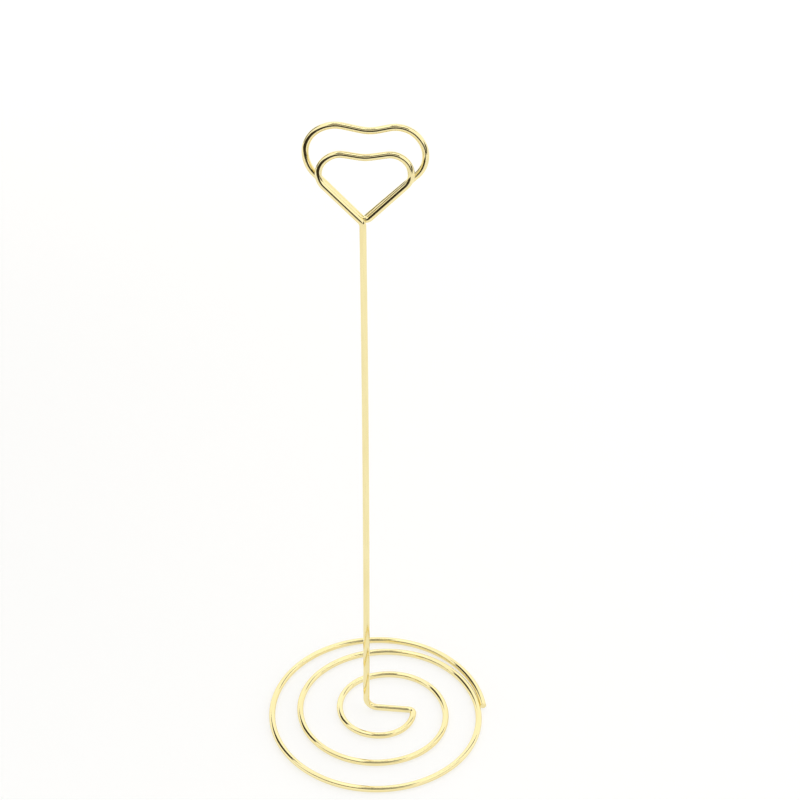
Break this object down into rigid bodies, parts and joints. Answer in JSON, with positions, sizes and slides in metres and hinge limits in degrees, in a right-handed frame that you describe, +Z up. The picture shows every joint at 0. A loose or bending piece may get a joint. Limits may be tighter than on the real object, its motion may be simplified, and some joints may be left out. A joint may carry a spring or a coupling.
{
  "type": "table number holder",
  "caption": "Bent gold wire stand: flat spiral base, tall straight stem, and a clip of two heart-shaped loops that grips a card between them.",
  "frame": {"origin": "on the table, at the centre of the footprint (bottom centre of the bounding box)", "axes": "+Z up along the stem; -Y is the front, the side a card is read from; +X to the right seen from the front"},
  "size_m": [0.0686, 0.068, 0.2168],
  "materials": {
    "gold_wire": "bright gold plating on steel wire, polished"
  },
  "bodies": {
    "stand": {"base_outer_turn": "gold_wire", "base_middle_turn": "gold_wire", "base_inner_turn": "gold_wire", "base_corner_bend": "gold_wire", "base_arm": "gold_wire", "stem_foot_bend": "gold_wire", "stem": "gold_wire", "stem_top_bend": "gold_wire", "front_loop_left_leg": "gold_wire", "front_loop_left_lobe": "gold_wire", "front_loop_top_dip": "gold_wire", "front_loop_right_lobe": "gold_wire", "front_loop_right_leg": "gold_wire", "crossing_right_bend": "gold_wire"},
    "rear_loop": {"crossing_left_bend": "gold_wire", "rear_loop_left_leg": "gold_wire", "rear_loop_left_lobe": "gold_wire", "rear_loop_top_dip": "gold_wire", "rear_loop_right_lobe": "gold_wire", "rear_loop_right_leg": "gold_wire"}
  },
  "joints": [
    {"name": "clip_opening", "type": "hinge", "parent": "stand", "child": "rear_loop", "pos_m": [-0.0026, 0.00521, 0.18956], "axis": [-1, 0, 0], "range_deg": [0, 8], "stiffness_Nm_per_rad": 0.5}
  ]
}
